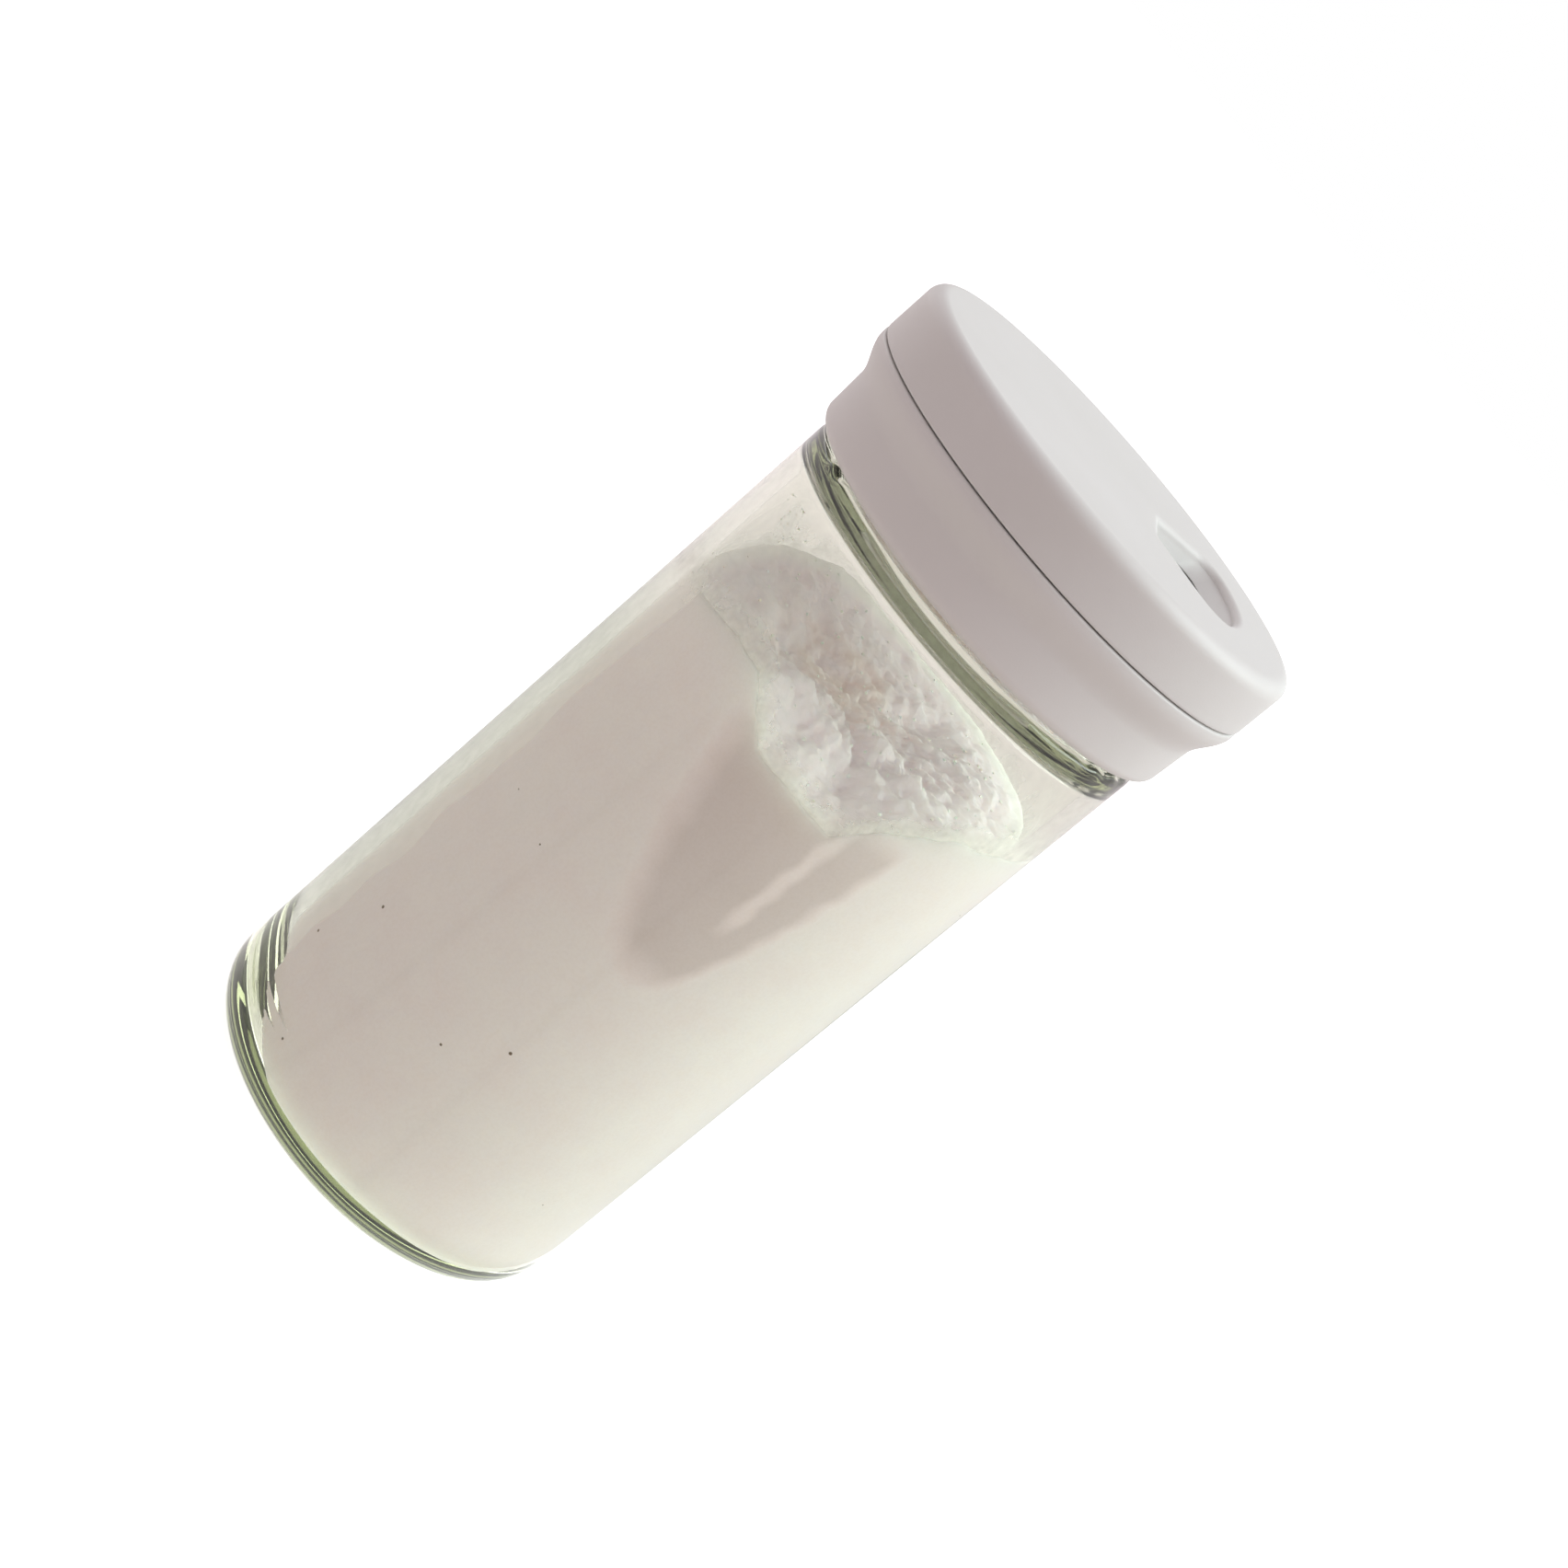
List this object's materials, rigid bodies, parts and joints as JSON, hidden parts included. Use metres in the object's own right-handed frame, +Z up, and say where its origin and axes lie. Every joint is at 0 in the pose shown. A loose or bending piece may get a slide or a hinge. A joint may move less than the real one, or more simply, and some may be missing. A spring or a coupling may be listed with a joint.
{
  "type": "spice jar",
  "caption": "Clear glass spice jar, part filled with fine white salt, with a white screw collar and a rotary dial top that has a fan-shaped pour opening.",
  "frame": {"origin": "middle of the jar's foot, on the table", "axes": "+Z up along the jar's axis, +X to the middle of the dial's pour opening"},
  "size_m": [0.0586, 0.0586, 0.1178],
  "materials": {
    "glass": "gloss",
    "salt": "matte",
    "seal": "matte",
    "collar_plastic": "satin",
    "dial_plastic": "satin"
  },
  "bodies": {
    "jar": {"glass_jar": "glass", "salt_fill": "salt"},
    "seal": {"gasket": "seal"},
    "collar": {"screw_collar": "collar_plastic"},
    "dial": {"dial_top": "dial_plastic"}
  },
  "joints": [
    {"name": "lid_rise", "type": "slide", "parent": "jar", "child": "seal", "axis": [0, 0, 1], "range_m": [0, 0.0127]},
    {"name": "collar_turn", "type": "hinge", "parent": "seal", "child": "collar", "pos_m": [0, 0, 0.1091], "axis": [0, 0, 1], "range_deg": [0, 1080]},
    {"name": "dial_turn", "type": "hinge", "parent": "collar", "child": "dial", "pos_m": [0, 0, 0.1153], "axis": [0, 0, 1], "continuous": true}
  ],
  "couplings": [
    {"joint": "lid_rise", "follows": "collar_turn", "m_per_rad": 0.0006737}
  ]
}
